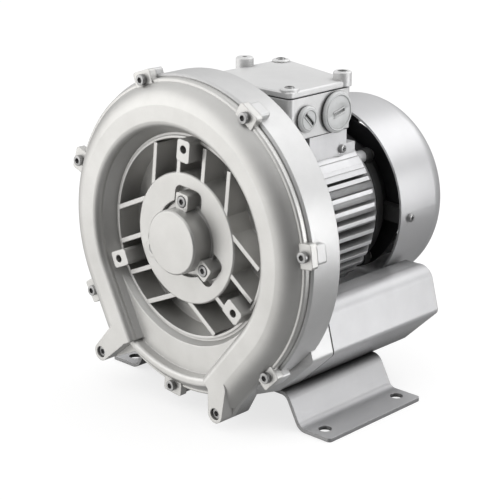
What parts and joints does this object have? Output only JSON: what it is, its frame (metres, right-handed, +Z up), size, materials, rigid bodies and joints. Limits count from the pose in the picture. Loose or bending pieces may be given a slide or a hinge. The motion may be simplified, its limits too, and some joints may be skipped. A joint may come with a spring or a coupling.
{
  "type": "side channel blower",
  "caption": "Side channel blower: round ribbed cover, finned motor with a fan cowl behind it, terminal box on top, silencers below and a folded foot bracket.",
  "frame": {"origin": "middle of the four foot holes, on the plane that the foot stands on", "axes": "X points right seen from the cover, Y runs along the motor axis from the cover towards the fan, Z is up"},
  "size_m": [0.2464, 0.2323, 0.2559],
  "materials": {
    "cover_casting": "satin die casting, warm light grey",
    "housing_casting": "satin die casting",
    "silencer_casting": "satin die casting",
    "frame_casting": "satin extrusion",
    "impeller_casting": "machined casting",
    "cowl_sheet": "satin light grey",
    "box_casting": "satin die casting",
    "bracket_steel": "zinc plated sheet",
    "screw_steel": "zinc plated",
    "shaft_steel": "turned",
    "core_steel": "stacked sheets",
    "bearing_steel": "ground",
    "cage_brass": "pressed",
    "winding_copper": "varnished copper wire",
    "stud_brass": "turned",
    "gasket_rubber": "matt black",
    "silencer_foam": "open foam",
    "plug_plastic": "light grey",
    "block_plastic": "black",
    "fan_plastic": "black"
  },
  "bodies": {
    "blower": {"housing_cover": "cover_casting", "bearing_cap": "cover_casting", "cap_screws": "screw_steel", "cover_gasket": "gasket_rubber", "cover_screws": "screw_steel", "leg_screws": "screw_steel", "impeller_housing": "housing_casting", "shaft_seal": "gasket_rubber", "front_bearing_outer": "bearing_steel", "rear_bearing_outer": "bearing_steel", "foot_bracket": "bracket_steel", "foot_bolts": "screw_steel", "silencer_left": "silencer_casting", "silencer_right": "silencer_casting", "silencer_gaskets": "gasket_rubber", "silencer_foam_left": "silencer_foam", "silencer_foam_right": "silencer_foam", "silencer_screws": "screw_steel", "stator_frame": "frame_casting", "stator_core": "core_steel", "stator_windings": "winding_copper", "rear_end_shield": "frame_casting", "preload_washer": "shaft_steel", "tie_screws": "screw_steel", "fan_cowl": "cowl_sheet", "cowl_screws": "screw_steel", "terminal_box": "box_casting", "pedestal_gasket": "gasket_rubber", "box_screws": "screw_steel", "terminal_lid": "box_casting", "lid_gasket": "gasket_rubber", "lid_screws": "screw_steel", "small_gland_plug": "plug_plastic", "large_gland_plug": "plug_plastic", "plug_seals": "gasket_rubber", "terminal_block": "block_plastic", "terminal_studs": "stud_brass", "earth_screw": "screw_steel"},
    "rotor": {"impeller": "impeller_casting", "impeller_key": "shaft_steel", "impeller_spacer": "shaft_steel", "shaft_nut": "screw_steel", "shaft": "shaft_steel", "front_bearing_inner": "bearing_steel", "rear_bearing_inner": "bearing_steel", "rotor_core": "core_steel", "cooling_fan": "fan_plastic", "fan_clip": "shaft_steel"},
    "front_cage": {"front_bearing_balls": "bearing_steel", "front_bearing_cage": "cage_brass"},
    "rear_cage": {"rear_bearing_balls": "bearing_steel", "rear_bearing_cage": "cage_brass"}
  },
  "joints": [
    {"name": "rotor_spin", "type": "hinge", "parent": "blower", "child": "rotor", "pos_m": [0, 0, 0.135], "axis": [0, 1, 0], "continuous": true},
    {"name": "front_cage_spin", "type": "hinge", "parent": "blower", "child": "front_cage", "pos_m": [0, -0.068, 0.135], "axis": [0, 1, 0], "continuous": true},
    {"name": "rear_cage_spin", "type": "hinge", "parent": "blower", "child": "rear_cage", "pos_m": [0, 0.069, 0.135], "axis": [0, 1, 0], "continuous": true}
  ],
  "couplings": [
    {"joint": "front_cage_spin", "follows": "rotor_spin", "ratio": 0.3842},
    {"joint": "rear_cage_spin", "follows": "rotor_spin", "ratio": 0.3842}
  ]
}
